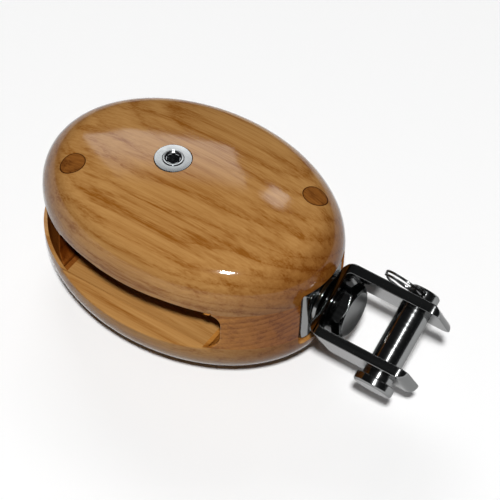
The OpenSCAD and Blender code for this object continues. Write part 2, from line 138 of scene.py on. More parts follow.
def area_light(name, way, shape, width, height, power):
    """A flat lamp that shines at the shell's middle from the direction given."""
    bpy.ops.object.light_add(type="AREA", location=SHELL_MIDDLE + way * LAMP_DISTANCE)
    lamp = bpy.context.object
    lamp.name = name
    lamp.rotation_mode = "QUATERNION"
    lamp.rotation_quaternion = way.to_track_quat("Z", "Y")
    lamp.data.shape = shape
    lamp.data.size = width
    lamp.data.size_y = height
    lamp.data.energy = power
    return lamp


bpy.ops.mesh.primitive_plane_add(size=FLOOR_SIZE, location=(0, 0, -FLOOR_DROP))
floor = bpy.context.object
floor.name = "floor"
floor_material, floor_tree, floor_shader = new_material(
    "floor_paper", {"Roughness": PAPER_ROUGHNESS, "Specular IOR Level": PAPER_MIRROR})
ray = add_node(floor_tree, "ShaderNodeLightPath").outputs
seen = math_node(floor_tree, "MAXIMUM", ray["Is Camera Ray"], ray["Is Glossy Ray"])
paper_colour = mix_colour(floor_tree, seen, PAPER_BOUNCE, PAPER_SEEN)
feed(floor_tree, floor_shader, {"Base Color": paper_colour})
floor.data.materials.append(floor_material)

area_light("flash", FLASH_WAY, "DISK", FLASH_SIZE, FLASH_SIZE, FLASH_POWER)
window = area_light("window", WINDOW_WAY, "RECTANGLE", WINDOW_WIDTH, WINDOW_HEIGHT, WINDOW_POWER)
area_light("second_pane", PANE_WAY, "RECTANGLE", PANE_WIDTH, PANE_HEIGHT, PANE_POWER)
window.data.use_nodes = True
window_tree = window.data.node_tree
window_place = add_node(window_tree, "ShaderNodeNewGeometry").outputs["Parametric"]
window_height = add_node(window_tree, "ShaderNodeSeparateXYZ", {0: window_place}).outputs["Y"]
window_fade = smooth_step(window_tree, window_height, WINDOW_DARK_AT, WINDOW_BRIGHT_AT)
feed(window_tree, window_tree.nodes["Emission"], {"Strength": window_fade})

world = bpy.data.worlds.new("room")
bpy.context.scene.world = world
world.use_nodes = True
room_tree = world.node_tree
room_way = add_node(room_tree, "ShaderNodeTexCoord").outputs["Generated"]
room_height = add_node(room_tree, "ShaderNodeSeparateXYZ", {0: room_way}).outputs["Z"]
room_level = smooth_step(room_tree, room_height, 0.0, WALL_TOP, WALL_LEVEL, CEILING_LEVEL)
feed(room_tree, room_tree.nodes["Background"], {"Color": ROOM_COLOUR, "Strength": room_level})


# Wooden shell
# Two domed ash cheeks and two blocks between them, glued up, shaped to one oval, slotted and
# finished with gloss varnish. The tail block is set in a little from the cheeks' edge. Each of
# the four is cut out of a whole shell here, along its glue lines.
SHELL_L, SHELL_W, CHEEK_T, SLOT_W = 102.0, 75.0, 20.25, 15.5
SHOULDER_R, DOME_R = 14.0, 170.0
SHOULDER_STEPS, DOME_STEPS, AROUND, ROUND = 16, 20, 288, 96
BLOCK_START, BLOCK_WALL, TAIL_SET_IN = 15.0, 30.5, 1.2
FILLET_R = 5.0
LIP_DEPTH, LIP_W = 1.75, 6.5
MOUTH_ROUNDING, MOUTH_ANGLE, MOUTH_MISS = 0.6, 30, 0.002
# How far the mouths' edges reach along X and up Z, on the cheeks and on the blocks
CHEEK_MOUTH, BLOCK_MOUTH = (28.3, 10.0), (BLOCK_WALL + 0.1, 7.2)
AXLE_X, AXLE_R = -7.7, 4.0
FLANGE_R, FLANGE_T = 6.0, 1.6
SCREW_X, SCREW_Y, SCREW_SEAT = 34.3, 15.9, 15.75
PLUG_R = 4.0
POCKET_FLOOR, POCKET_Y, POCKET_Z, POCKET_CORNER_R = 47.1, 12.7, 11.3, 2.0
STRAP_W, STRAP_T = 21.0, 2.5
MORTISE_X, MORTISE_Y, MORTISE_Z = 36.2, 8.5, 20.0
GLUE_GAP, BORE_ROOM, SEAT_GAP, WOOD_GAP = 0.03, 0.05, 0.05, 0.1
# How far the cutters reach from the shell's middle
REACH, LONG_REACH = 60.0, 70.0
# The distance in metres at which corners are one, and in mm the least run of an edge along an
# axis and how far its place may miss
SAME_PLACE, LEAST_RUN, PLACE_MISS = 1e-6, 1.0, 0.01
ASH_LIGHT, ASH_DARK = (0.465, 0.242, 0.076, 1), (0.245, 0.084, 0.01, 1)
BLOCK_LIGHT, BLOCK_DARK = (0.58, 0.25, 0.05, 1), (0.26, 0.085, 0.01, 1)
# The tail block's grain tones, about half the head block's, are painted shade: the shade it lies in
# under the upper cheek's lip, lit only at a grazing angle.
SHADED_TAIL_LIGHT, SHADED_TAIL_DARK = (0.24, 0.075, 0.012, 1), (0.11, 0.027, 0.004, 1)
END_TINT = (0.55, 0.40, 0.22, 1)
VARNISH_IOR, GRAIN_RELIEF, LINE_RELIEF = 1.5, 0.2 * MM, 0.02
# How far the growth rings sway and ripple in mm, and how fast a ring's dark line fades and rises
RING_SWAY, RING_RIPPLE, LINE_FALL, LINE_RISE = 12.0, 0.7, 2.0, 7.0
# How much the fibre, the clouds and the streaks in the bands change the shade, and their level
FIBRE_GAIN, FIBRE_LEVEL = 1.1, -0.47
CLOUD_GAIN, CLOUD_LEVEL = 0.5, -0.2
STREAK_GAIN, STREAK_LEVEL = 0.5, 0.12
half_l, half_w, half_slot = SHELL_L / 2, SHELL_W / 2, SLOT_W / 2
half_t = half_slot + CHEEK_T
lip_y = half_w - LIP_W
dome_z = half_t - DOME_R
shoulder_x = half_l - SHOULDER_R
shoulder_z = dome_z + math.sqrt((DOME_R - SHOULDER_R) ** 2 - shoulder_x ** 2)
flange_top = dome_z + math.sqrt(DOME_R ** 2 - AXLE_X ** 2)


def only(piece):
    """Selects one piece and no other, and makes it the active one."""
    deselect()
    piece.select_set(True)
    bpy.context.view_layer.objects.active = piece


def open_edit():
    bpy.ops.object.mode_set(mode="EDIT")


def close_edit():
    bpy.ops.object.mode_set(mode="OBJECT")


def pick_all():
    bpy.ops.mesh.select_all(action="SELECT")


def edit(piece):
    """Opens one piece, and no other, in edit mode with nothing selected."""
    only(piece)
    open_edit()
    bpy.ops.mesh.select_all(action="DESELECT")


def clear_picks(piece):
    """Leaves nothing selected in the mesh of one piece, out of edit mode."""
    edit(piece)
    close_edit()


def face_outwards():
    """Turns all faces of the mesh in edit mode outwards."""
    pick_all()
    bpy.ops.mesh.normals_make_consistent(inside=False)


def apply_modifier(piece, kind, **settings):
    """Adds one modifier, sets it and applies it."""
    only(piece)
    modifier = piece.modifiers.new(kind.lower(), kind)
    for key, value in settings.items():
        setattr(modifier, key, value)
    bpy.ops.object.modifier_apply(modifier=modifier.name)


def cut(piece, cutter, operation="DIFFERENCE"):
    """Takes the cutter out of the piece, or joins or crosses them, and drops the cutter."""
    apply_modifier(piece, "BOOLEAN", object=cutter, operation=operation, solver="EXACT")
    bpy.data.objects.remove(cutter)


def bake_place(piece):
    only(piece)
    bpy.ops.object.transform_apply(location=True, rotation=True, scale=True)


def finish_piece(piece, name, body, material, replaced, angle=35):
    """Names a piece, bakes its place, smooths it, gives it its material and hands it over."""
    bake_place(piece)
    bpy.ops.object.shade_smooth_by_angle(angle=math.radians(angle))
    apply_modifier(piece, "WEIGHTED_NORMAL", keep_sharp=True, weight=100)
    piece.name = name
    piece.data.name = name
    piece.data.materials.clear()
    piece.data.materials.append(material)
    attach(piece, body)
    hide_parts(*replaced)
    return piece


def ring_step(radius_from, radius_to, rise):
    """Draws the selected ring up to the next ring of the profile."""
    bpy.ops.mesh.extrude_region_move(TRANSFORM_OT_translate={"value": (0, 0, rise * MM)})
    share = radius_to / radius_from
    bpy.ops.transform.resize(value=(share, share, 1), center_override=(0, 0, 0))


def draw_rings(profile):
    """Draws the selected ring, the profile's first, up through all the others."""
    for (r0, z0), (r1, z1) in zip(profile, profile[1:]):
        ring_step(r0, r1, z1 - z0)


def shell_profile():
    """Radius and height of each ring from the middle plane up over the shoulder to the crown."""
    rings = [(half_l, 0.0), (half_l, shoulder_z)]
    lean = math.atan2(shoulder_x, shoulder_z - dome_z)
    for i in range(1, SHOULDER_STEPS + 1):
        a = (math.pi / 2 - lean) * i / SHOULDER_STEPS
        rings.append((shoulder_x + SHOULDER_R * math.cos(a), shoulder_z + SHOULDER_R * math.sin(a)))
    for i in range(1, DOME_STEPS):
        a = lean * (1 - i / DOME_STEPS)
        rings.append((DOME_R * math.sin(a), dome_z + DOME_R * math.cos(a)))
    return rings


def oval_shell():
    """The whole shell, solid, drawn up ring by ring, narrowed to its oval and mirrored."""
    bpy.ops.mesh.primitive_circle_add(vertices=AROUND, radius=half_l * MM)
    shell = bpy.context.object
    open_edit()
    pick_all()
    draw_rings(shell_profile())
    bpy.ops.mesh.edge_face_add()
    bpy.ops.mesh.poke()
    pick_all()
    bpy.ops.transform.resize(value=(1, SHELL_W / SHELL_L, 1), center_override=(0, 0, 0))
    close_edit()
    apply_modifier(shell, "MIRROR", use_axis=(False, False, True), merge_threshold=SAME_PLACE)
    edit(shell)
    face_outwards()
    close_edit()
    return shell


def box(low, high):
    """A block between two corners given in mm from the shell's middle."""
    middle = (Vector(low) + Vector(high)) / 2 * MM
    deselect()
    bpy.ops.mesh.primitive_cube_add(size=1, location=middle)
    made = bpy.context.object
    made.scale = (Vector(high) - Vector(low)) * MM
    bake_place(made)
    return made


ROD_PLACE = {"X": ((0, math.pi / 2, 0), lambda x, y, at: (at, x, y)),
             "Y": ((-math.pi / 2, 0, 0), lambda x, y, at: (x, at, y)),
             "Z": ((0, 0, 0), lambda x, y, at: (x, y, at))}


def rod(radius, low, high, x=0.0, y=0.0, axis="Z", sides=ROUND):
    """A round or six-sided bar along one axis, its place across that axis given by x and y."""
    turn, place = ROD_PLACE[axis]
    deselect()
    bpy.ops.mesh.primitive_cylinder_add(vertices=sides, radius=radius * MM, depth=(high - low) * MM,
                                        location=Vector(place(x, y, (low + high) / 2)) * MM,
                                        rotation=turn)
    made = bpy.context.object
    bake_place(made)
    return made


def bevel_where(piece, picked, width, segments):
    """Bevels the edges that the test picks by their key and the places of their two ends."""
    clear_picks(piece)
    for edge in piece.data.edges:
        a, b = (piece.data.vertices[i].co / MM for i in edge.vertices)
        edge.select = picked(edge.key, a, b)
    open_edit()
    bpy.ops.mesh.select_mode(type="EDGE")
    bpy.ops.mesh.bevel(offset=width * MM, segments=segments, affect="EDGES", clamp_overlap=False)
    bpy.ops.mesh.select_mode(type="VERT")
    close_edit()


def bevel_along(piece, axis, width, segments, at_x=None):
    """Bevels the edges that run along X, Y or Z, all of them or only those at one place on X."""
    run = "XYZ".index(axis)

    def picked(key, a, b):
        in_place = at_x is None or abs(a.x - at_x) < PLACE_MISS
        return in_place and abs(a[run] - b[run]) > LEAST_RUN

    bevel_where(piece, picked, width, segments)


def sharp_edges(piece, least):
    """The keys of the edges at which two faces meet at more than the angle given."""
    normals = {}
    for face in piece.data.polygons:
        for key in face.edge_keys:
            normals.setdefault(key, []).append(face.normal.copy())
    return {key for key, pair in normals.items()
            if len(pair) == 2 and pair[0].angle(pair[1], 0) > math.radians(least)}


def round_mouth(piece, reach, oval_x=half_l, oval_y=half_w):
    """Rounds the edges that the slot's mouths make with the oval wall, within a reach."""
    sharp = sharp_edges(piece, MOUTH_ANGLE)

    def at_mouth(p):
        on_oval = abs(math.hypot(p.x / oval_x, p.y / oval_y) - 1) < MOUTH_MISS
        return on_oval and abs(p.x) < reach[0] and abs(p.z) < reach[1]

    bevel_where(piece, lambda key, a, b: key in sharp and at_mouth(a) and at_mouth(b),
                MOUTH_ROUNDING, segments=4)


def span(side, near, far):
    """The lower and the upper end of a stretch on one side of the middle, which is 1 or -1."""
    return sorted((side * near, side * far))


def lip_wedge(hand):
    """The flared room between the lips of one mouth of the slot."""
    wedge = box((-REACH, lip_y, -half_slot), (REACH, REACH, half_slot))
    clear_picks(wedge)
    for v in wedge.data.vertices:
        v.select = v.co.y > (lip_y + REACH) / 2 * MM
    open_edit()
    spread = (half_slot + LIP_DEPTH / LIP_W * (REACH - lip_y)) / half_slot
    bpy.ops.transform.resize(value=(1, 1, spread), center_override=(0, 0, 0))
    if hand < 0:
        pick_all()
        bpy.ops.transform.resize(value=(1, -1, 1), center_override=(0, 0, 0))
        face_outwards()
    close_edit()
    return wedge


def nose_pocket():
    """The pocket at the nose in which the strap's crown stands."""
    pocket = box((POCKET_FLOOR, -POCKET_Y, -POCKET_Z), (REACH, POCKET_Y, POCKET_Z))
    bevel_along(pocket, "X", POCKET_CORNER_R, segments=6)
    return pocket


def strap_recess():
    """The room for both arms of the strap in the cheeks' inner faces, round about the axle."""
    reach_y, reach_z = STRAP_W / 2 + WOOD_GAP, half_slot + STRAP_T + SEAT_GAP
    recess = box((AXLE_X, -reach_y, -reach_z), (REACH, reach_y, reach_z))
    cut(recess, rod(reach_y, -reach_z, reach_z, AXLE_X), "UNION")
    return recess


def of_shell(low, high):
    """The part of a whole solid shell that lies inside one block."""
    piece = oval_shell()
    cut(piece, box(low, high), "INTERSECT")
    return piece


def cheek(side):
    """One cheek: its side of the shell, with the lips' relief, the recesses and the bores."""
    low, high = span(side, half_slot + GLUE_GAP, REACH)
    piece = of_shell((-LONG_REACH, -REACH, low), (LONG_REACH, REACH, high))
    for hand in (-1, 1):
        cut(piece, lip_wedge(hand))
    cut(piece, strap_recess())
    cut(piece, nose_pocket())
    for end in (-1, 1):
        cut(piece, rod(PLUG_R + BORE_ROOM, *span(side, SCREW_SEAT, REACH),
                       end * SCREW_X, side * end * SCREW_Y))
    cut(piece, rod(AXLE_R + BORE_ROOM, -REACH, REACH, AXLE_X))
    cut(piece, rod(FLANGE_R + BORE_ROOM, *span(side, flange_top - FLANGE_T, REACH), AXLE_X))
    round_mouth(piece, CHEEK_MOUTH)
    piece.location = SHELL_MIDDLE
    return piece


def end_block(end, set_in=0.0):
    """One block between the cheeks, with its wall's fillets, at the head or the tail."""
    low, high = span(end, BLOCK_START, LONG_REACH)
    piece = of_shell((low, -REACH, GLUE_GAP - half_slot), (high, REACH, half_slot - GLUE_GAP))
    oval_x, oval_y = half_l - set_in, half_w - set_in
    piece.scale = (oval_x / half_l, oval_y / half_w, 1)
    bake_place(piece)
    low, high = span(end, 0, BLOCK_WALL)
    slot = box((low, -REACH, -half_slot), (high, REACH, half_slot))
    bevel_along(slot, "Y", FILLET_R, segments=12, at_x=end * BLOCK_WALL)
    cut(piece, slot)
    if end > 0:
        cut(piece, nose_pocket())
        cut(piece, box((MORTISE_X, -MORTISE_Y, -MORTISE_Z), (REACH, MORTISE_Y, MORTISE_Z)))
    round_mouth(piece, BLOCK_MOUTH, oval_x, oval_y)
    piece.location = SHELL_MIDDLE
    return piece


def vector_node(tree, operation, *values):
    """One Vector Math node over one or two vectors or links."""
    return add_node(tree, "ShaderNodeVectorMath", dict(enumerate(values)), operation=operation)


def grain_group():
    """Ash grain: growth rings round a pith along X, with dark pore lines drawn out along X."""
    group = bpy.data.node_groups.new("ash_grain", "ShaderNodeTree")
    for name, kind in (("Place", "NodeSocketVector"), ("Facing", "NodeSocketVector"),
                       ("Ring Width", "NodeSocketFloat"), ("Light", "NodeSocketColor"),
                       ("Dark", "NodeSocketColor")):
        group.interface.new_socket(name, in_out="INPUT", socket_type=kind)
    group.interface.new_socket("Color", in_out="OUTPUT", socket_type="NodeSocketColor")
    group.interface.new_socket("Height", in_out="OUTPUT", socket_type="NodeSocketFloat")
    given = group.nodes.new("NodeGroupInput").outputs
    result = group.nodes.new("NodeGroupOutput")

    def noise(along, across, detail, roughness=0.5):
        place = vector_node(group, "MULTIPLY", given["Place"], (along, across, across)).outputs[0]
        return add_node(group, "ShaderNodeTexNoise",
                        {"Vector": place, "Scale": 1.0, "Detail": detail,
                         "Roughness": roughness}).outputs[0]

    # Distance from the pith in rings, swayed and rippled along the board
    flat = vector_node(group, "MULTIPLY", given["Place"], (0, 1, 1)).outputs[0]
    radius = vector_node(group, "LENGTH", flat).outputs["Value"]
    swayed = math_node(group, "MULTIPLY_ADD", noise(0.012, 0.02, 2.0), RING_SWAY, radius)
    rippled = math_node(group, "MULTIPLY_ADD", noise(0.06, 0.6, 3.0), RING_RIPPLE, swayed)
    rings = math_node(group, "DIVIDE", rippled, given["Ring Width"])
    part = math_node(group, "FRACT", rings)
    number = math_node(group, "FLOOR", rings)
    chance = add_node(group, "ShaderNodeTexWhiteNoise", {"W": number},
                      noise_dimensions="1D").outputs[0]
    # A dark line at each ring, of a strength that changes by ring and by place, broken by pores
    fall = math_node(group, "POWER", math_node(group, "SUBTRACT", 1.0, part), LINE_FALL)
    rise = math_node(group, "POWER", part, LINE_RISE)
    line = math_node(group, "MAXIMUM", fall, rise)
    by_ring = math_node(group, "MULTIPLY_ADD", chance, 0.75, 0.25)
    patches = smooth_step(group, noise(0.015, 0.05, 2.0), 0.3, 0.6)
    by_place = math_node(group, "MULTIPLY_ADD", patches, 0.65, 0.35)
    strength = math_node(group, "MULTIPLY", by_ring, by_place)
    pores = smooth_step(group, noise(0.22, 3.6, 3.0, 0.6), 0.45, 0.62)
    broken = math_node(group, "MULTIPLY_ADD", pores, 0.7, 0.55)
    dark_line = math_node(group, "MULTIPLY", line, math_node(group, "MULTIPLY", strength, broken))
    # Fine fibre, slow clouds and broad streaked bands on top of the lines
    fibre = math_node(group, "MULTIPLY_ADD", noise(0.03, 1.3, 4.0, 0.65), FIBRE_GAIN, FIBRE_LEVEL)
    clouds = math_node(group, "MULTIPLY_ADD", noise(0.009, 0.022, 1.0), CLOUD_GAIN, CLOUD_LEVEL)
    bands = smooth_step(group, noise(0.005, 0.36, 2.0), 0.45, 0.68)
    streaks = smooth_step(group, noise(0.025, 2.0, 4.0, 0.6), 0.35, 0.65)
    band_share = math_node(group, "MULTIPLY_ADD", streaks, STREAK_GAIN, STREAK_LEVEL)
    mask = math_node(group, "ADD", dark_line, fibre)
    mask = math_node(group, "ADD", mask, clouds)
    mask = math_node(group, "MULTIPLY_ADD", bands, band_share, mask, use_clamp=True)
    colour = mix_colour(group, mask, given["Light"], given["Dark"])
    # Varnish soaks into the end grain, which turns darker
    facing = add_node(group, "ShaderNodeSeparateXYZ", {0: given["Facing"]}).outputs["X"]
    end_grain = smooth_step(group, math_node(group, "ABSOLUTE", facing), 0.25, 0.95)
    colour = mix_colour(group, end_grain, colour, END_TINT, "MULTIPLY")
    height = math_node(group, "SUBTRACT", noise(0.05, 0.09, 1.0),
                       math_node(group, "MULTIPLY", dark_line, LINE_RELIEF))
    feed(group, result, {"Color": colour, "Height": height})
    return group


ash_grain = grain_group()


def varnished(name, pith, ring_width, light, dark, roughness, mirror):
    """Varnish over wood, with the pith's place across the shell in mm from its middle."""
    made, tree, shader = new_material(
        name, {"Roughness": roughness, "IOR": VARNISH_IOR, "Specular IOR Level": mirror})
    place = add_node(tree, "ShaderNodeTexCoord").outputs
    in_mm = add_node(tree, "ShaderNodeMapping",
                     {"Vector": place["Object"], "Location": (SHELL_TO_PIN, -pith[0], -pith[1]),
                      "Scale": (1 / MM, 1 / MM, 1 / MM)}).outputs[0]
    grain = add_node(tree, "ShaderNodeGroup", node_tree=ash_grain)
    feed(tree, grain, {"Place": in_mm, "Facing": place["Normal"], "Ring Width": ring_width,
                       "Light": light, "Dark": dark})
    bump = add_node(tree, "ShaderNodeBump", {"Strength": 1.0, "Distance": GRAIN_RELIEF,
                                             "Height": grain.outputs["Height"]})
    feed(tree, shader, {"Base Color": grain.outputs["Color"], "Normal": bump.outputs["Normal"]})
    return made


upper_ash = varnished("upper_ash", (-75, -180), 3.1, ASH_LIGHT, ASH_DARK, roughness=0.08, mirror=0.28)
lower_ash = varnished("lower_ash", (95, 210), 2.6, ASH_LIGHT, ASH_DARK, roughness=0.08, mirror=0.15)
block_ash = varnished("block_ash", (20, -160), 2.4, BLOCK_LIGHT, BLOCK_DARK,
                      roughness=0.07, mirror=0.2)
# The tail block's varnish is dull, and its dark tones are painted shade.
shaded_tail_ash = varnished("shaded_tail_ash", (20, -160), 2.4, SHADED_TAIL_LIGHT, SHADED_TAIL_DARK, roughness=0.4, mirror=0.0)

finish_piece(cheek(1), "upper_cheek_wood", "shell", upper_ash, ["upper_cheek"],
             angle=10)
finish_piece(cheek(-1), "lower_cheek_wood", "shell", lower_ash, ["lower_cheek"],
             angle=10)
finish_piece(end_block(1), "head_block_wood", "shell", block_ash, ["head_block"],
             angle=20)
finish_piece(end_block(-1, TAIL_SET_IN), "tail_block_wood", "shell", shaded_tail_ash,
             ["tail_block"], angle=20)


# Plugs and cheek screws
# Darker hardwood plugs of eight millimetres, glued in over the heads of the wood screws, cut
# flush with the dome and varnished with it. The round-headed screws are plain stainless steel.
SCREW_HEAD_H = 2.6
PLUG_LOW, PLUG_HIGH = SCREW_SEAT + SCREW_HEAD_H + SEAT_GAP, 40.0
PLUG_LIGHT, PLUG_DARK = (0.27, 0.098, 0.018, 1), (0.1, 0.028, 0.004, 1)
GLUE_COLOUR, GLUE_W, GLUE_EDGE = (0.05, 0.013, 0.002, 1), 0.45, 0.1
PLAIN_COLOUR = (0.52, 0.52, 0.51, 1)
# The tint of a metal's mirroring at a grazing angle, the spread of the noise that its marks
# show, and their depth in mm for a roughness of one
EDGE_TINT, MARK_LOW, MARK_HIGH, MARK_DEPTH = (0.5, 0.5, 0.5, 1), 0.3, 0.7, 0.002
# Marks per metre along X, Y and Z: drawn along a bar, and left by turning
DRAWN_MARKS, TURNED_MARKS = (30, 900, 900), (500, 500, 500)

plug_wood = varnished("plug_wood", (-30, 40), 1.1, PLUG_LIGHT, PLUG_DARK,
                      roughness=0.07, mirror=0.35)
plug_tree = plug_wood.node_tree
plug_shader = plug_tree.nodes["Principled BSDF"]
plug_place = add_node(plug_tree, "ShaderNodeTexCoord").outputs["Object"]
# All four plugs lie at the same distances from the shell's middle, so one ring marks their rims
from_middle = add_node(plug_tree, "ShaderNodeMapping",
                       {"Vector": plug_place, "Location": (SHELL_TO_PIN, 0, 0),
                        "Scale": (1 / MM, 1 / MM, 0)}).outputs[0]
folded = vector_node(plug_tree, "ABSOLUTE", from_middle).outputs[0]
off_axis = vector_node(plug_tree, "SUBTRACT", folded, (SCREW_X, SCREW_Y, 0)).outputs[0]
from_axis = vector_node(plug_tree, "LENGTH", off_axis).outputs["Value"]
rim = smooth_step(plug_tree, from_axis, PLUG_R - GLUE_W, PLUG_R - GLUE_EDGE)
plug_grain = plug_shader.inputs["Base Color"].links[0].from_socket
glued = mix_colour(plug_tree, rim, plug_grain, GLUE_COLOUR)
feed(plug_tree, plug_shader, {"Base Color": glued})


def plug_pair(name, side, node):
    """The two plugs of one cheek, cut to its dome, on the diagonal of its side."""
    low, high = span(side, PLUG_LOW, PLUG_HIGH)
    pair = rod(PLUG_R, low, high, SCREW_X, side * SCREW_Y)
    cut(pair, rod(PLUG_R, low, high, -SCREW_X, -side * SCREW_Y), "UNION")
    cut(pair, oval_shell(), "INTERSECT")
    pair.location = SHELL_MIDDLE
    return finish_piece(pair, name, "shell", plug_wood, [node])


def metal(name, colour, roughness, marks, scratches=DRAWN_MARKS):
    """A bare metal whose polish varies a little along its fine marks."""
    made, tree, shader = new_material(
        name, {"Base Color": colour, "Metallic": 1.0, "Specular Tint": EDGE_TINT})
    place = add_node(tree, "ShaderNodeTexCoord").outputs["Object"]
    drawn = add_node(tree, "ShaderNodeMapping", {"Vector": place, "Scale": scratches}).outputs[0]
    fine = add_node(tree, "ShaderNodeTexNoise",
                    {"Vector": drawn, "Scale": 1.0, "Detail": 4.0}).outputs[0]
    level = add_node(tree, "ShaderNodeMapRange",
                     {"Value": fine, "From Min": MARK_LOW, "From Max": MARK_HIGH,
                      "To Min": roughness, "To Max": roughness + marks}).outputs[0]
    bump = add_node(tree, "ShaderNodeBump",
                    {"Strength": 1.0, "Distance": marks * MARK_DEPTH * MM, "Height": fine})
    feed(tree, shader, {"Roughness": level, "Normal": bump.outputs["Normal"]})
    return made


def dress(node, material):
    """Gives a piece that is kept as it was built its material."""
    nodes[node].data.materials.clear()
    nodes[node].data.materials.append(material)


plug_pair("upper_plug_wood", 1, "upper_plugs")
plug_pair("lower_plug_wood", -1, "lower_plugs")
plain_steel = metal("plain_stainless", PLAIN_COLOUR, roughness=0.22, marks=0.12)
dress("cheek_screws", plain_steel)


# Strap
# A polished stainless bar bent to a U round the sheave's slot and let into the cheeks. The axle
# crosses its rounded arms, and its crown stands in the pocket at the nose.
STRAP_BEND_R, STRAP_EDGE = 3.0, 0.3
CROWN_X = POCKET_FLOOR + STRAP_T
JOURNAL_BORE, JOURNAL_FROM = 10.1, 40.0
# Half the length of the cutters that pass through the bar
BAR_REACH = 20.0
POLISHED_COLOUR = (0.27, 0.275, 0.275, 1)


def soften(piece, width, segments=3, least=40):
    """Rounds every edge of a piece that is sharper than the angle given."""
    apply_modifier(piece, "BEVEL", width=width * MM, segments=segments, limit_method="ANGLE",
                   angle_limit=math.radians(least), use_clamp_overlap=False)


polished = metal("polished_stainless", POLISHED_COLOUR, roughness=0.1, marks=0.06)

strap = box((AXLE_X - STRAP_W / 2, -STRAP_W / 2, -half_slot - STRAP_T),
            (CROWN_X, STRAP_W / 2, half_slot + STRAP_T))
bevel_along(strap, "Y", STRAP_BEND_R, segments=8, at_x=CROWN_X)
cut(strap, box((-REACH, -BAR_REACH, -half_slot), (POCKET_FLOOR, BAR_REACH, half_slot)))
round_end = rod(STRAP_W / 2, -BAR_REACH, BAR_REACH, AXLE_X)
cut(round_end, box((AXLE_X, -STRAP_W / 2, -BAR_REACH), (REACH, STRAP_W / 2, BAR_REACH)), "UNION")
cut(strap, round_end, "INTERSECT")
cut(strap, rod(AXLE_R + BORE_ROOM, -BAR_REACH, BAR_REACH, AXLE_X))
cut(strap, rod(JOURNAL_BORE / 2, JOURNAL_FROM, REACH, axis="X"))
soften(strap, STRAP_EDGE)
strap.location = SHELL_MIDDLE
finish_piece(strap, "strap_steel", "shell", polished, ["strap"])


# Axle
# A flanged stainless barrel through both cheeks, closed from below by a flanged screw. Each
# flange lies flush in the wood and carries a raised ring round its hex socket.
BARREL_LOW, SHOULDER_AT, THREAD_L, SCREW_R = -22.22, 4.0, 12.0, 2.5
RAISED_R, RAISED_H = 3.25, 0.3
SOCKET_AF, SOCKET_DEPTH, SOCKET_TURN = 4.0, 3.2, math.radians(30)
# The rounding of the flange's rim and of its raised ring, the groove at the ring's foot, and the
# countersink's width and depth round the socket
RIM_EDGE, RAISED_EDGE, FOOT_W, FOOT_DEPTH, SINK_W, SINK_DEPTH = 0.3, 0.1, 0.25, 0.12, 0.75, 0.5
AXLE_COLOUR = (0.27, 0.28, 0.285, 1)


def turned(profile, sides=ROUND, closed=False):
    """A turned piece along Z: the rings of its profile, drawn up one after another."""
    first_r, first_z = profile[0]
    deselect()
    bpy.ops.mesh.primitive_circle_add(vertices=sides, radius=first_r * MM, location=(0, 0, 0))
    made = bpy.context.object
    open_edit()
    pick_all()
    bpy.ops.transform.translate(value=(0, 0, first_z * MM))
    draw_rings(profile)
    pick_all()
    if closed:
        bpy.ops.mesh.remove_doubles(threshold=SAME_PLACE)
    else:
        bpy.ops.mesh.fill_holes(sides=0)
    face_outwards()
    close_edit()
    return made


def flange_profile():
    """The flange's section from its seat over its rounded rim to the socket, its top at z = 0."""
    socket_r = SOCKET_AF / 2
    rim_edge = [(FLANGE_R, -FLANGE_T), (FLANGE_R, -RIM_EDGE), (FLANGE_R - 0.1, -0.1),
                (FLANGE_R - RIM_EDGE, 0)]
    raised_ring = [(RAISED_R + FOOT_W, 0), (RAISED_R + 0.1, -FOOT_DEPTH), (RAISED_R, -0.1),
                   (RAISED_R, RAISED_H - RAISED_EDGE), (RAISED_R - RAISED_EDGE, RAISED_H)]
    countersink = [(socket_r + SINK_W, RAISED_H), (socket_r + 0.55, RAISED_H - 0.08),
                   (socket_r + 0.2, RAISED_H - SINK_DEPTH)]
    return rim_edge + raised_ring + countersink


axle_steel = metal("turned_stainless", AXLE_COLOUR, roughness=0.16, marks=0.1,
                   scratches=TURNED_MARKS)


def axle_part(name, shank, side, replaced):
    """A shank with a flange at its end, its hex socket sunk, on the upper or lower side."""
    piece = turned(shank + flange_profile())
    socket = rod(SOCKET_AF / math.sqrt(3), -SOCKET_DEPTH, 1, sides=6)
    socket.rotation_euler = (0, 0, SOCKET_TURN)
    bake_place(socket)
    cut(piece, socket)
    piece.location = SHELL_MIDDLE + Vector((AXLE_X, 0, side * flange_top)) * MM
    if side < 0:
        piece.rotation_euler = (math.pi, 0, 0)
    return finish_piece(piece, name, "shell", axle_steel, replaced)


barrel = [(AXLE_R, BARREL_LOW - flange_top), (AXLE_R, -FLANGE_T)]
stud = [(SCREW_R, -SHOULDER_AT - THREAD_L), (SCREW_R, -SHOULDER_AT), (AXLE_R, -SHOULDER_AT),
        (AXLE_R, -FLANGE_T)]
axle_part("axle_barrel_steel", barrel, 1, ["axle_barrel"])
axle_part("axle_screw_steel", stud, -1, ["axle_screw"])


# Sheave, bush and thrust washers
# A black acetal wheel with a round rope groove, turned with a hollow in each side. It runs on a
# bronze bush between two thin steel washers.
SHEAVE_R, SHEAVE_W, RIM_R = 21.0, 13.5, 1.6
BUSH_R, HUB_R, WEB_R, WEB_DEPTH = 5.53, 9.0, 14.0, 1.2
BORE_EDGE, HUB_EDGE, WALL_LEAN, CORNER_W, CORNER_H = 0.3, 0.2, 0.1, 0.25, 0.15
SHEAVE_SIDES, RIM_STEPS, GROOVE_STEPS = 144, 6, 14
GROOVE_AT, GROOVE_R = 23.0, 6.0
# The angles, in degrees, at which the rim's rounding and the groove meet
RIM_MEETS, GROOVE_MEETS = 17.5, 110.2
ACETAL_COLOUR = (0.018, 0.018, 0.02, 1)
BRONZE_COLOUR = (0.62, 0.38, 0.16, 1)


def arc(x, z, radius, start, end, steps):
    """Points of a profile along an arc, its angles in degrees from the outward direction."""
    turns = (math.radians(start + (end - start) * i / steps) for i in range(steps + 1))
    return [(x + radius * math.cos(a), z + radius * math.sin(a)) for a in turns]


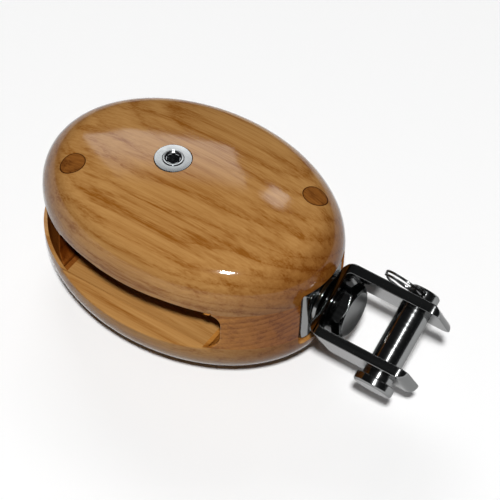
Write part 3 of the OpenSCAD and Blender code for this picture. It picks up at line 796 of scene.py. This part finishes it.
low_face, hollow_floor = -SHEAVE_W / 2, WEB_DEPTH - SHEAVE_W / 2
lower_half = [(BUSH_R, low_face + BORE_EDGE), (BUSH_R + BORE_EDGE, low_face),
              (HUB_R - HUB_EDGE, low_face), (HUB_R, low_face + HUB_EDGE),
              (HUB_R + WALL_LEAN, hollow_floor - CORNER_H), (HUB_R + CORNER_W, hollow_floor),
              (WEB_R - CORNER_W, hollow_floor), (WEB_R - WALL_LEAN, hollow_floor - CORNER_H),
              (WEB_R, low_face + HUB_EDGE), (WEB_R + HUB_EDGE, low_face)]
lower_half += arc(SHEAVE_R - RIM_R, low_face + RIM_R, RIM_R, -90, -RIM_MEETS, RIM_STEPS)
lower_half += arc(GROOVE_AT, 0, GROOVE_R, 360 - GROOVE_MEETS, 180, GROOVE_STEPS)
upper_half = [(r, -z) for r, z in reversed(lower_half[:-1])]
sheave = turned(lower_half + upper_half + lower_half[:1], sides=SHEAVE_SIDES, closed=True)
sheave.location = SHELL_MIDDLE + Vector((AXLE_X, 0, 0)) * MM
acetal = new_material("black_acetal", {"Base Color": ACETAL_COLOUR, "Roughness": 0.38})[0]
finish_piece(sheave, "sheave_acetal", "sheave", acetal, ["sheave"])
bronze = metal("bush_bronze", BRONZE_COLOUR, roughness=0.22, marks=0.1)
dress("sheave_bush", bronze)
dress("thrust_washers", plain_steel)


# Swivel bolt, nut and washers
# A shouldered stainless bolt holds the clevis to the strap's crown and is the journal that the
# clevis turns on. A self-locking nut with a nylon ring closes it inside the head block.
SEAT_X, SEAT_END, SEAT_R, SEAT_EDGE = 54.5, 58.7, 7.0, 0.2
HEX_LOW, HEX_TOP, HEX_AF, HEX_EDGE = 56.4, 60.2, 16.0, 0.5
HEX_END_R, HEX_BEVEL, CONE_H = 7.36, math.radians(30), 6.0
JOURNAL_LOW, JOURNAL_R = 47.1, 5.0
THREAD_R, BOLT_END, BOLT_BEVEL, BOLT_EDGE = 4.0, 37.0, 0.6, 0.12
WASHER_LOW, WASHER_TOP, WASHER_R, WASHER_EDGE = 49.7, 51.1, 8.5, 0.2
CLEVIS_TURN, BOLT_TURN = math.radians(30), math.radians(8)
NYLON_COLOUR = (0.04, 0.12, 0.42, 1)

bolt = turned([(THREAD_R - BOLT_BEVEL, BOLT_END), (THREAD_R, BOLT_END + BOLT_BEVEL),
               (THREAD_R, JOURNAL_LOW), (JOURNAL_R, JOURNAL_LOW), (JOURNAL_R, SEAT_X),
               (SEAT_R - SEAT_EDGE, SEAT_X), (SEAT_R, SEAT_X + SEAT_EDGE), (SEAT_R, SEAT_END)])
hexagon = rod(HEX_AF / math.sqrt(3), HEX_LOW, HEX_TOP, sides=6)
bevel_along(hexagon, "Z", HEX_EDGE, segments=3)
deselect()
cone_foot_r = HEX_END_R + CONE_H / math.tan(HEX_BEVEL)
bpy.ops.mesh.primitive_cone_add(vertices=ROUND, radius1=cone_foot_r * MM, radius2=HEX_END_R * MM,
                                depth=CONE_H * MM, location=(0, 0, (HEX_TOP - CONE_H / 2) * MM))
cone = bpy.context.object
bake_place(cone)
cut(hexagon, cone, "INTERSECT")
cut(bolt, hexagon, "UNION")
soften(bolt, BOLT_EDGE, segments=2, least=25)
bolt.rotation_euler = (0, math.pi / 2, 0)
bake_place(bolt)
bolt.rotation_euler = (CLEVIS_TURN + BOLT_TURN, 0, 0)
bake_place(bolt)
bolt.location = SHELL_MIDDLE
finish_piece(bolt, "swivel_bolt_steel", "shell", polished, ["swivel_bolt"],
             angle=20)

washer = turned([(JOURNAL_BORE / 2, WASHER_LOW), (WASHER_R, WASHER_LOW), (WASHER_R, WASHER_TOP),
                 (JOURNAL_BORE / 2, WASHER_TOP), (JOURNAL_BORE / 2, WASHER_LOW)], closed=True)
soften(washer, WASHER_EDGE)
washer.rotation_euler = (0, math.pi / 2, 0)
washer.location = SHELL_MIDDLE
finish_piece(washer, "swivel_washer_steel", "shell", polished, ["swivel_washer"])

nylon = new_material("blue_nylon", {"Base Color": NYLON_COLOUR, "Roughness": 0.45})[0]
dress("nut_insert", nylon)
dress("swivel_nut", plain_steel)
dress("nut_washer", plain_steel)


# Clevis
# Polished stainless bar bent to a U, with its base bored for the swivel bolt and its two arms
# for the pin. It stands turned by 30 degrees about the swivel's axis.
CLEVIS_X, CLEVIS_T, CLEVIS_GAP, CLEVIS_W, CLEVIS_TIP = 51.2, 3.2, 18.7, 21.0, 86.9
CLEVIS_BEND_R, CLEVIS_CORNER_R, CLEVIS_EDGE = 5.5, 3.5, 0.35
PIN_BORE = 10.1
# How far the cutters reach, past the base, past the arms' faces and past their tips
BASE_REACH, ARM_REACH, TIP_REACH = 58.0, 30.0, 120.0
arm_y = CLEVIS_GAP / 2 + CLEVIS_T
base_x = CLEVIS_X + CLEVIS_T

clevis = box((CLEVIS_X, -arm_y, -CLEVIS_W / 2), (CLEVIS_TIP, arm_y, CLEVIS_W / 2))
bevel_along(clevis, "Z", CLEVIS_BEND_R, segments=14, at_x=CLEVIS_X)
bevel_along(clevis, "Y", CLEVIS_CORNER_R, segments=10, at_x=CLEVIS_TIP)
inside = box((base_x, -CLEVIS_GAP / 2, -ARM_REACH), (TIP_REACH, CLEVIS_GAP / 2, ARM_REACH))
bevel_along(inside, "Z", CLEVIS_BEND_R - CLEVIS_T, segments=10, at_x=base_x)
cut(clevis, inside)
cut(clevis, rod(PIN_BORE / 2, -ARM_REACH, ARM_REACH, SHELL_TO_PIN, axis="Y"))
cut(clevis, rod(JOURNAL_BORE / 2, JOURNAL_FROM, BASE_REACH, axis="X"))
soften(clevis, CLEVIS_EDGE)
clevis.rotation_euler = (CLEVIS_TURN, 0, 0)
clevis.location = SHELL_MIDDLE
finish_piece(clevis, "clevis_steel", "clevis", polished, ["clevis"])


# Clevis pin
# A turned stainless pin through both arms, with a flat bevelled head at one end and a hole for
# its split ring at the other.
PIN_R, PIN_HEAD_R, PIN_HEAD_H, PIN_LOW, PIN_END = 5.0, 6.5, 3.0, -17.85, 16.45
PIN_BEVEL, HEAD_EDGE, PIN_EDGE = 0.6, 0.2, 0.15
RING_AT, RING_HOLE_R = 14.15, 1.76
under_head = PIN_LOW + PIN_HEAD_H

pin = turned([(PIN_HEAD_R - PIN_BEVEL, PIN_LOW), (PIN_HEAD_R, PIN_LOW + PIN_BEVEL),
              (PIN_HEAD_R, under_head - HEAD_EDGE), (PIN_HEAD_R - HEAD_EDGE, under_head),
              (PIN_R, under_head), (PIN_R, PIN_END - PIN_BEVEL), (PIN_R - PIN_BEVEL, PIN_END)])
cut(pin, rod(RING_HOLE_R, -2 * PIN_R, 2 * PIN_R, 0, RING_AT, axis="Y"))
soften(pin, PIN_EDGE, segments=2, least=35)
pin.rotation_euler = (CLEVIS_TURN - math.pi / 2, 0, 0)
finish_piece(pin, "clevis_pin_steel", "clevis_pin", polished, ["clevis_pin"],
             angle=25)


# Split ring
# Two turns of hard-drawn stainless wire through the pin's hole, crossing over from one turn to
# the next half way along. The wire is drawn at 0.8 mm, a little thin, so that it stays clear of
# the clevis's arm where the pin slides back towards its head and draws the ring up to it.
WIRE_R, WIRE_SIDES, WIRE_END_EDGE = 0.4, 12, 0.12
RING_R, RING_PITCH, RING_BACK = 7.4, 1.32, 6.3474
RING_RISE, RING_ENDS, TURN_STEPS = 6.0, 30.0, 48
RING_START, RING_END = RING_ENDS, 720 - RING_ENDS
WIRE_COLOUR = (0.26, 0.265, 0.265, 1)
steps = round((RING_END - RING_START) / 360 * TURN_STEPS)
step_angle = (RING_END - RING_START) / steps


def wire_rise(angle):
    """Height of the wire above its middle, where it crosses from turn to turn half way along."""
    share = min(1, max(0, (angle - 360) / (2 * RING_ENDS) + 0.5))
    return RING_PITCH * (share * share * (3 - 2 * share) - 0.5)


deselect()
bpy.ops.mesh.primitive_circle_add(vertices=WIRE_SIDES, radius=WIRE_R * MM,
                                  rotation=(math.pi / 2, 0, 0))
ring = bpy.context.object
bake_place(ring)
edit(ring)
pick_all()
bpy.ops.transform.translate(value=(RING_R * MM, 0, wire_rise(RING_START) * MM))
for i in range(steps):
    angle = RING_START + step_angle * i
    lift = wire_rise(angle + step_angle) - wire_rise(angle)
    bpy.ops.mesh.extrude_region_move(TRANSFORM_OT_translate={"value": (0, 0, lift * MM)})
    bpy.ops.transform.rotate(value=-math.radians(step_angle), orient_axis="Z",
                             center_override=(0, 0, 0))
pick_all()
bpy.ops.mesh.fill_holes(sides=0)
face_outwards()
close_edit()
soften(ring, WIRE_END_EDGE, segments=2, least=60)
# The turns are drawn about Z, and stand about the line of the pin with their hole at its side.
ring.matrix_world = (Matrix.Rotation(CLEVIS_TURN, 4, "X")
                     @ Matrix.Translation(Vector((0, RING_AT, 0)) * MM)
                     @ Matrix.Rotation(-math.radians(RING_RISE), 4, "Z")
                     @ Matrix.Translation(Vector((-RING_BACK, 0, 0)) * MM)
                     @ Matrix.Rotation(math.pi, 4, "Y")
                     @ Matrix.Rotation(math.pi / 2, 4, "X")
                     @ Matrix.Rotation(math.radians(RING_START), 4, "Z"))
wire = metal("spring_wire", WIRE_COLOUR, roughness=0.12, marks=0.1)
finish_piece(ring, "split_ring_wire", "split_ring", wire, ["split_ring"])
